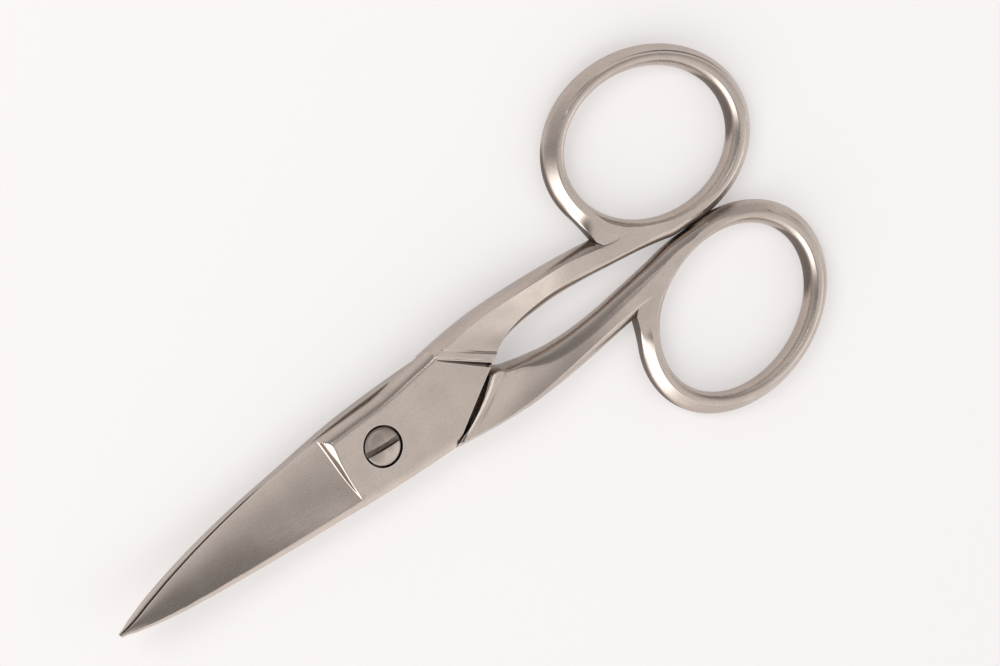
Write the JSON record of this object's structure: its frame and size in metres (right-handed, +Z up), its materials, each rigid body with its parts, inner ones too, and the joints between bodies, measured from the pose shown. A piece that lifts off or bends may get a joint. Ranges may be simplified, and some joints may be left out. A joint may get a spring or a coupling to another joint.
{
  "type": "toenail scissors",
  "caption": "Small steel scissors with upswept tapering blades, a slotted pivot screw and oval finger rings, for cutting toenails.",
  "frame": {"origin": "on the pivot axis, on the flat underside of the lower half's joint plate, which lies on the table", "axes": "+X from the pivot towards the finger rings, +Y towards the upper half's finger ring, +Z up along the pivot axis, away from the table"},
  "size_m": [0.1021, 0.0472, 0.0069],
  "materials": {
    "forged_steel": "satin, finely ground stainless steel",
    "screw_steel": "turned and polished stainless steel"
  },
  "bodies": {
    "lower": {"lower_half": "forged_steel", "pivot_screw": "screw_steel"},
    "upper": {"upper_half": "forged_steel"}
  },
  "joints": [
    {"name": "pivot", "type": "hinge", "parent": "lower", "child": "upper", "pos_m": [0, 0, 0.00335], "axis": [0, 0, 1], "range_deg": [0, 120]}
  ]
}
